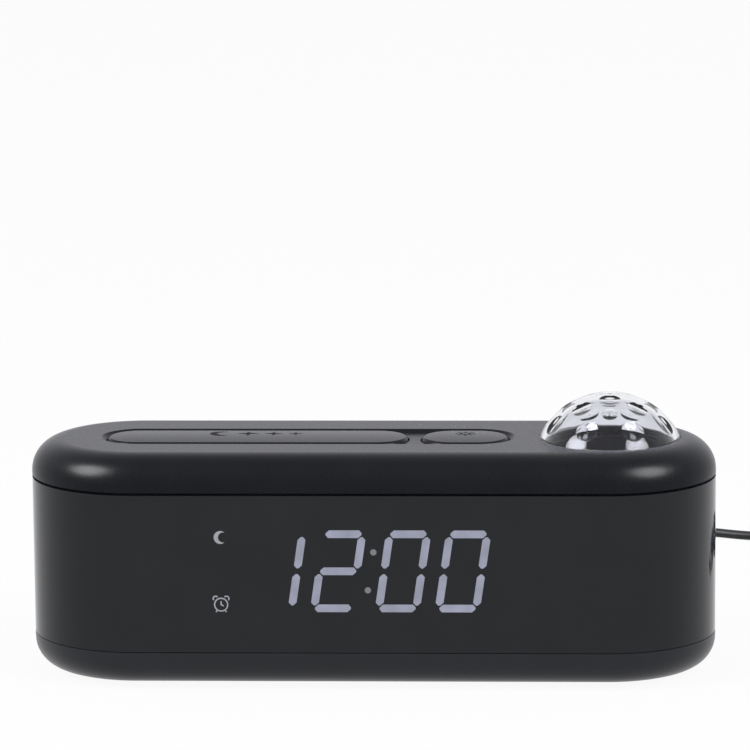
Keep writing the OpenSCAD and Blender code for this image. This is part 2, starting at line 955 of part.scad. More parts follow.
module usb_a_shell() {
    color("silver")
        at_rear(usb_a_x, y_mouth - usb_a_deep, z_usb_a)
            difference() {
                translate([-usb_a_w / 2, -usb_a_h / 2, 0])
                    cube([usb_a_w, usb_a_h, usb_a_deep]);
                translate([-usb_a_w / 2 + usb_a_wall, -usb_a_h / 2 + usb_a_wall, usb_a_wall])
                    cube([usb_a_w - 2 * usb_a_wall, usb_a_h - 2 * usb_a_wall, usb_a_deep]);
            }
}

usb_a_tongue_w = 11.1;
usb_a_tongue_h = 1.8;
usb_a_tongue_drop = 1.1;

module usb_a_tongue() {
    color("#d9d9d6")
        at_rear(usb_a_x, y_mouth - usb_a_deep + usb_a_wall, z_usb_a)
            translate([-usb_a_tongue_w / 2, usb_a_tongue_drop - usb_a_tongue_h / 2, 0])
                cube([usb_a_tongue_w, usb_a_tongue_h, usb_a_deep - usb_a_wall - 1.2]);
}

// ---------------------------------------------------------------- display

function leaning(p) = [p[0] + p[1] * tan(digit_lean), p[1]];

// Long six-sided segment between a and b, t wide, with its ends cut to a point
function segment(a, b, t) =
    let (
        l = norm(b - a),
        u = (b - a) / l,
        v = [-u[1], u[0]],
        p = a + u * seg_gap,
        q = b - u * seg_gap
    )
    [p, p + (u + v) * t / 2, q + (v - u) * t / 2, q, q - (u + v) * t / 2, p + (u - v) * t / 2];

// The seven segments' ends on an upright digit centred on the origin
function digit_ends(w, h) =
    [
        [[-w, h], [w, h]], [[w, h], [w, 0]], [[w, 0], [w, -h]], [[-w, -h], [w, -h]],
        [[-w, -h], [-w, 0]], [[-w, 0], [-w, h]], [[-w, 0], [w, 0]]
    ];

// Everything that is lit, as flat shapes seen from the front, grown by g
module lit_shapes(g) {
    for (x = digit_xs)
        for (e = digit_ends((digit_w - seg_t) / 2, (digit_h - seg_t) / 2))
            translate([x, 0])
                polygon([for (p = segment(e[0], e[1], seg_t - 2 * g)) leaning(p)]);
    for (s = [-1, 1])
        translate([colon_x + s * colon_half * tan(digit_lean), s * colon_half])
            circle(d = colon_d - 2 * g, $fn = 32);
    for (z = [z_sign_up - z_digits, z_sign_low - z_digits])
        translate([sign_x, z])
            square([sign_w - 2 * g, sign_h - 2 * g], center = true);
}

// Upright slab from y back to y + t, drawn as seen from the front
module at_front(y, t) {
    translate([0, y + t, z_digits])
        rotate([90, 0, 0])
            linear_extrude(t)
                children();
}

module block2d() {
    translate([block_x0, -block_h / 2])
        square([block_x1 - block_x0, block_h]);
}

module display_reflector() {
    color("#e6e6e2")
        at_front(y_reflector, reflector_d)
            difference() {
                block2d();
                lit_shapes(0);
            }
}

module display_guides() {
    color("#d9d2ea")
        at_front(y_reflector, guide_t)
            lit_shapes(guide_fit);
}

module display_mask() {
    color("#101013")
        at_front(y_mask, mask_t)
            block2d();
}

module display_board() {
    color("#1f5a3a")
        translate([display_x0, y_display_board, display_z0])
            cube([display_x1 - display_x0, board_t, display_z1 - display_z0]);
}

led_chip = [1.2, 0.8, 1.2];

module led_chip_at(x, z) {
    translate([x - led_chip[0] / 2, y_display_board - led_chip[1], z_digits + z - led_chip[2] / 2])
        cube(led_chip);
}

module display_leds() {
    color("#f4f1d8") {
        for (x = digit_xs)
            for (e = digit_ends((digit_w - seg_t) / 2, (digit_h - seg_t) / 2))
                let (m = leaning((e[0] + e[1]) / 2))
                    led_chip_at(x + m[0], m[1]);
        for (s = [-1, 1])
            led_chip_at(colon_x + s * colon_half * tan(digit_lean), s * colon_half);
        for (z = [z_sign_up - z_digits, z_sign_low - z_digits])
            led_chip_at(sign_x, z);
    }
}

header_w = 40;
header_h = 2.5;
header_d = 5;

module display_header() {
    color("#1c1c1e")
        translate([time_x - header_w / 2, y_display_back, z_board])
            cube([header_w, board_y0 - y_display_back + header_d, header_h]);
}

// ---------------------------------------------------------------- projector

// Rings of dimples: angle from the top, how many, angle of the first, share of the full width
dimple_rings = [[50, 8, 22.5, 1], [30, 4, 45, 0.92], [33.5, 4, 0, 0.66], [15, 2, 90, 0.92]];

// Ball that presses a dimple of width w and depth h
function dimple_ball(w, h) = (w * w / 4 + h * h) / (2 * h);

module dimples() {
    for (ring = dimple_rings)
        for (i = [0 : ring[1] - 1])
            let (
                h = dimple_depth * ring[3],
                ball = dimple_ball(dimple_d * ring[3], h)
            )
                rotate([0, ring[0], ring[2] + i * 360 / ring[1]])
                    translate([0, 0, sphere_r - h + ball])
                        sphere(ball, $fn = 48);
}

// Half profile of the dome, its skirt and its flange
module dome_half2d() {
    difference() {
        union() {
            intersection() {
                translate([0, z_sphere])
                    circle(sphere_r, $fn = 96);
                translate([0, z_top - eps])
                    square([dome_r, dome_h + 2 * eps]);
            }
            translate([0, z_flange])
                square([dome_r, z_top - z_flange]);
            translate([0, z_flange])
                square([dome_flange_r, dome_flange]);
        }
        intersection() {
            translate([0, z_sphere])
                circle(sphere_r - dome_wall, $fn = 96);
            translate([0, z_flange - eps])
                square([dome_r - dome_wall, dome_h + z_top - z_flange + 2 * eps]);
        }
    }
}

module dome_lens() {
    color("#e8eef2", 0.5)
        translate([dome_x, 0, 0])
            difference() {
                rotate_extrude($fn = 96)
                    dome_half2d();
                translate([0, 0, z_sphere])
                    dimples();
            }
}

module projector_cup() {
    color("#1d1e22")
        difference() {
            union() {
                translate([dome_x, 0, z_cup])
                    cylinder(r = cup_r, h = cup_h, $fn = 96);
                translate([dome_x, 0, z_cup - collar_h])
                    cylinder(r = motor_d / 2 + fit + collar_wall, h = collar_h + eps, $fn = 64);
                for (s = [-1, 1])
                    hull() {
                        ear_at(s)
                            translate([0, 0, z_ear - ear_t])
                                cylinder(r = ear_r, h = ear_t, $fn = 32);
                        ear_at(s, ear_root)
                            translate([0, 0, z_ear - ear_t])
                                cylinder(r = ear_r, h = ear_t, $fn = 32);
                    }
            }
            translate([dome_x, 0, z_cup_floor])
                cylinder(r = cup_in, h = cup_h, $fn = 96);
            translate([dome_x, 0, z_cup - collar_h - eps])
                cylinder(r = motor_d / 2 + fit, h = collar_h + eps, $fn = 64);
            translate([dome_x, 0, z_cup - eps])
                cylinder(d = shaft_d + 2 * pass, h = cup_wall + 2 * eps, $fn = 32);
            for (s = [-1, 1])
                ear_at(s)
                    translate([0, 0, z_ear - ear_t - eps])
                        cylinder(d = small_screw_d + 2 * pass, h = ear_t + 2 * eps, $fn = 32);
        }
}

module projector_screws() {
    color("silver")
        for (s = [-1, 1])
            ear_at(s)
                translate([0, 0, z_ear - ear_t])
                    screw(small_screw_d, small_screw_l, small_head_d, small_head_h);
}

module projector_board() {
    color("#16171a")
        translate([dome_x, 0, z_cup_floor])
            difference() {
                cylinder(r = projector_board_r, h = board_t, $fn = 96);
                translate([0, 0, -eps])
                    cylinder(d = shaft_d + 2 * pass, h = board_t + 2 * eps, $fn = 32);
            }
}

module projector_leds() {
    color("#f6f2c4")
        for (a = [45 : 90 : 315])
            translate([dome_x, 0, z_cup_floor + board_t])
                rotate([0, 0, a])
                    translate([led_ring - led_w / 2, -led_w / 2, 0])
                        cube([led_w, led_w, led_h]);
}

shaft_sunk = 6;

module gear_motor() {
    color("#b9bcc2")
        difference() {
            translate([dome_x, 0, z_cup - motor_h])
                cylinder(d = motor_d, h = motor_h, $fn = 64);
            translate([dome_x, 0, z_cup - shaft_sunk - shaft_clear])
                cylinder(d = shaft_d + 2 * shaft_clear, h = shaft_sunk + eps, $fn = 32);
        }
}

module motor_shaft() {
    color("silver")
        translate([dome_x, 0, z_cup - shaft_sunk])
            cylinder(d = shaft_d, h = z_disc + disc_t - z_cup + shaft_sunk, $fn = 32);
}

// Disc with a ring of windows between its hub and its rim
module ripple_disc() {
    color("#cfe3ee", 0.6)
        translate([dome_x, 0, z_disc])
            difference() {
                union() {
                    cylinder(r = disc_r, h = disc_t, $fn = 96);
                    translate([0, 0, -hub_h])
                        cylinder(d = hub_d, h = hub_h + eps, $fn = 48);
                }
                translate([0, 0, -hub_h - eps])
                    cylinder(d = shaft_d + 2 * guide_fit, h = hub_h + disc_t + 2 * eps, $fn = 32);
                for (a = [0 : 60 : 300])
                    rotate([0, 0, a])
                        translate([led_ring, 0, -eps])
                            cylinder(d = led_ring * 0.7, h = disc_t + 2 * eps, $fn = 40);
            }
}

wire_plug_x = dome_x - motor_d / 2 - wire_l - wire_plug_l;

module wire_plug() {
    color("#efefe9")
        translate([wire_plug_x, -wire_plug_w / 2, z_board])
            cube([wire_plug_l, wire_plug_w, wire_plug_h]);
}

module projector_wires() {
    color("#b03030")
        for (y = [-wire_pitch, 0, wire_pitch])
            translate([wire_plug_x + wire_plug_l, y, z_wires])
                rotate([0, 90, 0])
                    cylinder(d = wire_d, h = wire_l - fit, $fn = 24);
}

// ---------------------------------------------------------------- cable

module cable_tip() {
    color("silver")
        at_rear(usb_c_x, y_grip - tip_l, z_usb_c)
            difference() {
                pill(tip_w, tip_h, tip_l);
                translate([0, 0, -eps])
                    pill(tip_w - 2 * tip_wall, tip_h - 2 * tip_wall, tip_l - 0.6 + eps);
            }
}

module cable_grip() {
    color("#1d1e22")
        at_rear(usb_c_x, y_grip, z_usb_c)
            pill_turn(grip_w, grip_h)
                difference() {
                    square([grip_h / 2, grip_l]);
                    translate([grip_h / 2 - 0.6, grip_l])
                        rotate(45)
                            translate([0, -2])
                                square([4, 4]);
                }
}

module cable_relief() {
    color("#1d1e22")
        at_rear(usb_c_x, y_relief, z_usb_c)
            difference() {
                cylinder(d1 = relief_d, d2 = cord_d + 0.6, h = relief_l, $fn = 48);
                for (i = [1 : 3])
                    translate([0, 0, i * relief_l / 4 - 0.4])
                        difference() {
                            cylinder(d = relief_d + 1, h = 0.8, $fn = 48);
                            cylinder(d = cord_d + 0.3, h = 0.8, $fn = 48);
                        }
            }
}

// Smooth way through the route's points
function spline(p, i, t) =
    let (
        a = p[max(i - 1, 0)],
        b = p[i],
        c = p[i + 1],
        d = p[min(i + 2, len(p) - 1)]
    )
    b + t * (c - a) / 2 + t * t * (2 * a - 5 * b + 4 * c - d) / 2
        + t * t * t * (3 * b - a - 3 * c + d) / 2;

function way(p, n) =
    [for (i = [0 : len(p) - 2], k = [0 : n - 1]) spline(p, i, k / n), p[len(p) - 1]];

function unit(v) = v / norm(v);

// Round section at point i of the way w, square to the way
function ring_at(w, i, r, n) =
    let (
        t = unit(w[min(i + 1, len(w) - 1)] - w[max(i - 1, 0)]),
        s = unit(cross(t, [0, 0, 1])),
        u = cross(s, t)
    )
    [for (k = [0 : n - 1]) w[i] + r * (cos(k * 360 / n) * s + sin(k * 360 / n) * u)];

module tube(points, r, n, steps) {
    w = way(points, steps);
    m = len(w);
    rings = [for (i = [0 : m - 1]) each ring_at(w, i, r, n)];
    sides = [
        for (i = [0 : m - 2], k = [0 : n - 1])
            let (a = i * n + k, b = i * n + (k + 1) % n)
                each [[a, b, b + n], [a, b + n, a + n]]
    ];
    polyhedron(rings, concat(
        sides,
        [[for (k = [n - 1 : -1 : 0]) k]],
        [[for (k = [0 : n - 1]) (m - 1) * n + k]]
    ));
}

module cord_run() {
    color("#1a1b1e")
        tube(cord_points, cord_d / 2, cord_sides, cord_steps);
}

coil_w = coil_rows * cord_d;
coil_h = coil_layers * cord_d;

module cord_coil() {
    color("#1a1b1e")
        translate([coil_x, coil_y, tie_t])
            rotate_extrude($fn = 96)
                translate([coil_turn_r - coil_w / 2, 0])
                    square([coil_w, coil_h]);
}

// Band round the coil's section, across from the plug
module cord_tie() {
    color("#101012")
        translate([coil_x - coil_turn_r - coil_w / 2 - tie_gap - tie_t, coil_y - tie_w / 2, 0])
            difference() {
                cube([coil_w + 2 * (tie_gap + tie_t), tie_w, coil_h + 2 * tie_t + fit]);
                translate([tie_t, -eps, tie_t])
                    cube([coil_w + 2 * tie_gap, tie_w + 2 * eps, coil_h + fit]);
            }
}

coil_outer_r = coil_turn_r + (coil_w - cord_d) / 2;
tail_x = coil_x + coil_outer_r;
tail_z = end_grip[2] / 2;
y_tail = coil_y - sqrt(pow(coil_turn_r + coil_w / 2, 2) - pow(coil_outer_r, 2));
y_end_relief = y_tail - tail_l;
y_end_grip = y_end_relief - end_relief_l;

module cord_tail() {
    color("#1a1b1e")
        translate([tail_x, y_end_relief, tail_z])
            rotate([-90, 0, 0])
                cylinder(d = cord_d, h = tail_l, $fn = 24);
}

module cable_end_grip() {
    color("#1d1e22") {
        translate([tail_x, y_end_relief, tail_z])
            rotate([90, 0, 0])
                cylinder(d1 = cord_d + 0.8, d2 = relief_d + 0.6, h = end_relief_l, $fn = 48);
        translate([tail_x, y_end_grip, tail_z])
            rotate([90, 0, 0])
                linear_extrude(end_grip[1])
                    rounded2d(end_grip[0], end_grip[2], 2);
    }
}

// Rectangle with its corners rounded by r
module rounded2d(w, h, r) {
    square([w - 2 * r, h], center = true);
    square([w, h - 2 * r], center = true);
    for (x = [-1, 1], y = [-1, 1])
        translate([x * (w / 2 - r), y * (h / 2 - r)])
            circle(r, $fn = 32);
}

module cable_end_shell() {
    color("silver")
        translate([tail_x - end_shell[0] / 2, y_end_grip - end_grip[1] - end_shell[1], tail_z - end_shell[2] / 2])
            difference() {
                cube(end_shell);
                translate([end_shell_wall, -eps, end_shell[2] / 2])
                    cube([
                        end_shell[0] - 2 * end_shell_wall,
                        end_shell[1] - end_shell_back + eps,
                        end_shell[2] / 2 - end_shell_wall
                    ]);
            }
}

top_cover();
band_sleeve();
bottom_shell();
rubber_feet();
case_screws();
snooze_bar();
light_button();
alarm_button();
setting_button();
down_button();
up_button();
snooze_plungers();
light_plunger();
alarm_plunger();
setting_plunger();
down_plunger();
up_plunger();
top_switches();
rear_switches();
main_board();
board_screws();
clock_chip();
capacitors();
buzzer();
cell_holder();
backup_cell();
usb_c_shell();
usb_c_tongue();
usb_c_riser();
usb_a_shell();
usb_a_tongue();
display_board();
display_reflector();
display_guides();
display_leds();
display_mask();
display_header();
dome_lens();
projector_cup();
projector_screws();
projector_board();
projector_leds();
gear_motor();
motor_shaft();
ripple_disc();
wire_plug();
projector_wires();
cable_tip();
cable_grip();
cable_relief();
cord_run();
cord_coil();
cord_tie();
cord_tail();
cable_end_grip();
cable_end_shell();
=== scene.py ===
"""Projection alarm clock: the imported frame, dressed with its finishes, lit digits, signs and cord.

Sizes of the object are in millimetres times MM, the scene is in metres. X runs along the width,
the front faces -Y, and the clock stands on Z = 0.
"""
import json
import math

import bmesh
import bpy
from mathutils import Matrix, Vector


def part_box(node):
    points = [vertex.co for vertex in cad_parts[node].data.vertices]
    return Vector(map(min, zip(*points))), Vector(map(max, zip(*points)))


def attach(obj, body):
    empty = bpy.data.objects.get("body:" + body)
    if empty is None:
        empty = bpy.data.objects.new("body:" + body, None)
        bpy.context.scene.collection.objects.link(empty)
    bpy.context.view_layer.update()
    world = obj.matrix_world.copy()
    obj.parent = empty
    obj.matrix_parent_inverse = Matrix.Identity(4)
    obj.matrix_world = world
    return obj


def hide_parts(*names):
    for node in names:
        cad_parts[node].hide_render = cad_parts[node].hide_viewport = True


MM = 0.001

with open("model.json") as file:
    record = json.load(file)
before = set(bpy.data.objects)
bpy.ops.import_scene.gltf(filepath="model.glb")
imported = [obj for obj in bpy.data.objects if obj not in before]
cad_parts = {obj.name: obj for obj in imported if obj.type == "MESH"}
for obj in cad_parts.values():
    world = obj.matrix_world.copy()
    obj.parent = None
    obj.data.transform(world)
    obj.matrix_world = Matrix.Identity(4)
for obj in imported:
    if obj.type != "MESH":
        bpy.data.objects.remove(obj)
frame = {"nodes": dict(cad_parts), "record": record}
nodes = frame["nodes"]
scene = bpy.context.scene
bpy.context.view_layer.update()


def middle(node):
    """Middle of a CAD node's box."""
    low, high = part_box(node)
    return (low + high) / 2


# ---------------------------------------------------------------- camera

PICTURE_PX = 750
SENSOR = 36.0
FOCAL_PX = 4760.4
ELEVATION = math.radians(12.98)
AZIMUTH = math.radians(2.67)
ROLL = math.radians(-0.5)
DISTANCE = 1.3
AIM = Vector((0, 0, 32 * MM))
# Where the aim lies in the picture: the clock fills the lower half
AIM_PX = (374.06, 550.5)


def add_camera():
    """The camera at the photograph's place, turned so that the aim falls on its pixel."""
    data = bpy.data.cameras.new("camera")
    data.sensor_width = SENSOR
    data.lens = FOCAL_PX * SENSOR / PICTURE_PX
    camera = bpy.data.objects.new("camera", data)
    level = math.cos(ELEVATION)
    way = Vector((level * math.sin(AZIMUTH), -level * math.cos(AZIMUTH), math.sin(ELEVATION)))
    to_aim = Vector((AIM_PX[0] - PICTURE_PX / 2, PICTURE_PX / 2 - AIM_PX[1], -FOCAL_PX))
    camera.matrix_world = (
        Matrix.Translation(AIM + DISTANCE * way)
        @ Matrix.Rotation(AZIMUTH, 4, "Z")
        @ Matrix.Rotation(math.pi / 2 - ELEVATION, 4, "X")
        @ Matrix.Rotation(ROLL, 4, "Z")
        @ to_aim.rotation_difference(Vector((0, 0, -1))).to_matrix().to_4x4())
    scene.collection.objects.link(camera)
    scene.camera = camera


add_camera()

# ---------------------------------------------------------------- cord

CORD_D = 2.7 * MM
CORD_SIDES = 14
# How far the cord goes into the relief of the far plug
TAIL_SUNK = 1 * MM
# The route from the strain relief down to the table and along it to the coil
CORD_ROUTE = [
    (-29, 53, 47.2), (-29, 56.5, 47.2), (-29, 62.3, 46.8), (-28.8, 69, 45), (-28.3, 76.7, 40.7),
    (-27.4, 84.9, 33.9), (-26, 93, 26), (-24, 101, 18.2), (-21, 109, 11.2), (-16.6, 117, 5.7),
    (-10.6, 125, 2.4), (-3, 131.9, 1.4), (7, 138.8, 1.4), (19, 145.4, 1.4), (32, 151.2, 1.4),
    (46, 156.3, 1.4), (60, 160, 1.4), (73, 161.7, 1.4), (85, 161.2, 1.4), (95.5, 158.5, 1.4),
    (105, 154.4, 1.4), (114.5, 152, 1.5), (124, 153.9, 1.7), (132, 157.9, 1.9),
]
COIL_MIDDLE = Vector((140, 140)) * MM
# Radius of the middle of the rows, which lie side by side
COIL_TURN_R = 15.8 * MM
COIL_ROWS = 4
COIL_TURNS = 7.25
# Thickness of the tie, on which the coil lies
COIL_LIFT = 0.6 * MM
# Turns at which the winding steps a row in, climbs to the upper layer, and steps a row out, and
# the share of a turn that each step takes
STEP = 1 / 3
STEPS_IN = [0.67, 1.67, 2.67]
CLIMB = 3.45
STEPS_OUT = [4.25, 5.25, 6.25]
RUN_SAMPLES = 6
TURN_SAMPLES = 48
TAIL_SAMPLES = 10


def smooth(t):
    """0 below 0, 1 above 1, and a smooth rise between."""
    t = min(max(t, 0), 1)
    return t * t * (3 - 2 * t)


def spline_point(points, i, t):
    """Point at t, from 0 to 1, between route points i and i + 1: a Catmull-Rom curve."""
    a, b, c, d = (points[min(max(k, 0), len(points) - 1)] for k in range(i - 1, i + 3))
    return b + t * (c - a) / 2 + t * t * (2 * a - 5 * b + 4 * c - d) / 2 \
        + t ** 3 * (3 * b - a - 3 * c + d) / 2


def coil_point(turn):
    """Point of the coil after some turns, clockwise from its far side, seen from above."""
    radius = COIL_TURN_R + (COIL_ROWS - 1) / 2 * CORD_D
    radius -= CORD_D * sum(smooth((turn - start) / STEP) for start in STEPS_IN)
    radius += CORD_D * sum(smooth((turn - start) / STEP) for start in STEPS_OUT)
    height = COIL_LIFT + CORD_D / 2 + CORD_D * smooth((turn - CLIMB) / STEP)
    angle = math.pi / 2 - 2 * math.pi * turn
    return Vector((
        COIL_MIDDLE.x + radius * math.cos(angle), COIL_MIDDLE.y + radius * math.sin(angle), height))


def cord_line():
    """All the points of the cord: the run, the coil and the tail into the far plug's relief."""
    count = int(COIL_TURNS * TURN_SAMPLES)
    coil = [coil_point(COIL_TURNS * k / count) for k in range(count + 1)]
    route = [Vector(p) * MM for p in CORD_ROUTE] + [coil[0]]
    run = [spline_point(route, i, k / RUN_SAMPLES)
           for i in range(len(route) - 1) for k in range(RUN_SAMPLES)]
    low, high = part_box("cable_end_grip")
    end = Vector(((low.x + high.x) / 2, high.y - TAIL_SUNK, (low.z + high.z) / 2))
    start = coil[-1]
    tail = []
    for k in range(1, TAIL_SAMPLES + 1):
        t = k / TAIL_SAMPLES
        point = start.lerp(end, t)
        point.z = start.z + (end.z - start.z) * smooth(t)
        tail.append(point)
    return run + coil + tail


def tube(name, points, radius, sides):
    """Closed round tube along the points, its rings carried along without twist."""
    mesh = bmesh.new()
    rings = []
    across = Vector((1, 0, 0))
    for i, point in enumerate(points):
        along = (points[min(i + 1, len(points) - 1)] - points[max(i - 1, 0)]).normalized()
        across = (across - across.dot(along) * along).normalized()
        up = along.cross(across)
        turns = (2 * math.pi * k / sides for k in range(sides))
        rings.append([
            mesh.verts.new(point + radius * (math.cos(a) * across + math.sin(a) * up))
            for a in turns])
    for first, second in zip(rings, rings[1:]):
        for k in range(sides):
            j = (k + 1) % sides
            mesh.faces.new((first[k], first[j], second[j], second[k]))
    mesh.faces.new(list(reversed(rings[0])))
    mesh.faces.new(rings[-1])
    for face in mesh.faces:
        face.smooth = len(face.verts) == 4
    data = bpy.data.meshes.new(name)
    mesh.to_mesh(data)
    mesh.free()
    piece = bpy.data.objects.new(name, data)
    scene.collection.objects.link(piece)
    return piece


def add_cord():
    """The cord as one tube, in the place of its CAD solids."""
    points = cord_line()
    cord = tube("cord", points, CORD_D / 2, CORD_SIDES)
    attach(cord, "cable")
    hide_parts("cord_run", "cord_coil", "cord_tail")
    return cord


cord = add_cord()

# ---------------------------------------------------------------- finishes

# Size of the slow drift in the colour of mouldings, metal, clear plastic and lit parts
DRIFT = 14 * MM
METAL_DRIFT = 3 * MM
CLEAR_DRIFT = 6 * MM
LIT_DRIFT = 5 * MM
# Size and height of the fine grain of smooth mouldings
GRAIN = 0.4 * MM
GRAIN_H = 6e-6
# Lines of drawn or turned metal
LINE_SIZE = 0.5 * MM
LINE_H = 2e-6
# Circuit boards: spacing and height of the tracks, how far from a border between two cells they
# end, in cells, and the grain and range of roughness
TRACK_SIZE = 3 * MM
TRACK_H = 3e-5
TRACK_EDGE = (0.04, 0.08)
BOARD_GRAIN = 1 * MM
BOARD_ROUGH = (0.25, 0.4)
FLOW_MARK_SIZE = 4 * MM
FLOW_MARK_H = 1e-5
ACRYLIC_IOR = 1.49
# Dims the clear plastic's reflections: the photograph's studio is darker than the white one here
CLEAR_TINT = (0.36, 0.36, 0.40, 1)
UNLIT_COLOUR = (0.02, 0.02, 0.02, 1)
# Cool haze of the black mouldings at a low angle
HAZE = {"Sheen_Roughness": 0.35, "Sheen_Tint": (0.6, 0.6, 1.0, 1)}


class Finish:
    """A material round one Principled shader, with helpers for the nodes that feed it."""

    def __init__(self, name, **values):
        self.material = bpy.data.materials.new(name)
        self.material.use_nodes = True
        self.tree = self.material.node_tree
        self.shader = self.tree.nodes["Principled BSDF"]
        self.place = self.add("ShaderNodeTexCoord").outputs["Object"]
        for socket, value in values.items():
            self.set(socket.replace("_", " "), value)

    def add(self, kind, **settings):
        node = self.tree.nodes.new(kind)
        for key, value in settings.items():
            setattr(node, key, value)
        return node

    def set(self, socket, value):
        self.shader.inputs[socket].default_value = value

    def link(self, source, target):
        self.tree.links.new(source, target)

    def noise(self, size, detail=2.0, stretch=(1, 1, 1)):
        """Noise whose spots are about size metres across."""
        mapping = self.add("ShaderNodeMapping")
        mapping.inputs["Scale"].default_value = stretch
        self.link(self.place, mapping.inputs["Vector"])
        node = self.add("ShaderNodeTexNoise")
        node.inputs["Scale"].default_value = 1 / size
        node.inputs["Detail"].default_value = detail
        self.link(mapping.outputs["Vector"], node.inputs["Vector"])
        return node.outputs["Fac"]

    def borders(self, size):
        """Distance to the borders between cells about size metres across."""
        node = self.add("ShaderNodeTexVoronoi", feature="DISTANCE_TO_EDGE")
        node.inputs["Scale"].default_value = 1 / size
        self.link(self.place, node.inputs["Vector"])
        return node.outputs["Distance"]

    def range(self, value, low, high, start=0.3, stop=0.7):
        """The value, mapped from start and stop to low and high. Noise is mostly 0.3 to 0.7."""
        node = self.add("ShaderNodeMapRange")
        node.inputs["From Min"].default_value = start
        node.inputs["From Max"].default_value = stop
        node.inputs["To Min"].default_value = low
        node.inputs["To Max"].default_value = high
        self.link(value, node.inputs["Value"])
        return node.outputs["Result"]

    def colour(self, value, first, second):
        """Base colour between two colours."""
        node = self.add("ShaderNodeMix", data_type="RGBA")
        node.inputs["A"].default_value = (*first, 1)
        node.inputs["B"].default_value = (*second, 1)
        self.link(value, node.inputs["Factor"])
        self.link(node.outputs["Result"], self.shader.inputs["Base Color"])

    def rough(self, value, low, high):
        self.link(self.range(value, low, high), self.shader.inputs["Roughness"])

    def bump(self, value, height):
        node = self.add("ShaderNodeBump")
        node.inputs["Strength"].default_value = 1
        node.inputs["Distance"].default_value = height
        self.link(value, node.inputs["Height"])
        self.link(node.outputs["Normal"], self.shader.inputs["Normal"])


def moulded(name, first, second, rough, grain, height, **values):
    """Moulded plastic or rubber: slow colour drift, fine grain in roughness and bump."""
    finish = Finish(name, **values)
    finish.colour(finish.range(finish.noise(DRIFT, 3), 0, 1), first, second)
    fine = finish.noise(grain, 3)
    finish.rough(fine, *rough)
    finish.bump(fine, height)
    return finish.material


def drawn_metal(name, first, second, rough, stretch):
    """Metal with fine lines from drawing or turning."""
    finish = Finish(name, Metallic=1.0)
    lines = finish.noise(LINE_SIZE, 4, stretch)
    finish.colour(finish.range(finish.noise(METAL_DRIFT), 0, 1), first, second)
    finish.rough(lines, *rough)
    finish.bump(lines, LINE_H)
    return finish.material


def circuit_board(name, mask, trace):
    """Solder mask over raised tracks."""
    finish = Finish(name)
    tracks = finish.range(finish.borders(TRACK_SIZE), 1, 0, *TRACK_EDGE)
    finish.colour(tracks, mask, trace)
    finish.rough(finish.noise(BOARD_GRAIN), *BOARD_ROUGH)
    finish.bump(tracks, TRACK_H)
    return finish.material


def clear_plastic(name, first, second, rough):
    """Clear moulded plastic with faint flow marks."""
    finish = Finish(
        name, Transmission_Weight=1.0, IOR=ACRYLIC_IOR, Specular_Tint=CLEAR_TINT)
    finish.colour(finish.range(finish.noise(CLEAR_DRIFT), 0, 1), first, second)
    marks = finish.noise(FLOW_MARK_SIZE)
    finish.rough(marks, *rough)
    finish.bump(marks, FLOW_MARK_H)
    return finish.material


def glowing(name, first, second, strength):
    """Lit display part: a soft colour drift in its glow."""
    finish = Finish(name, Roughness=0.4, Emission_Strength=strength)
    finish.set("Base Color", UNLIT_COLOUR)
    node = finish.add("ShaderNodeMix", data_type="RGBA")
    node.inputs["A"].default_value = (*first, 1)
    node.inputs["B"].default_value = (*second, 1)
    finish.link(finish.range(finish.noise(LIT_DRIFT), 0, 1), node.inputs["Factor"])
    finish.link(node.outputs["Result"], finish.shader.inputs["Emission Color"])
    return finish.material


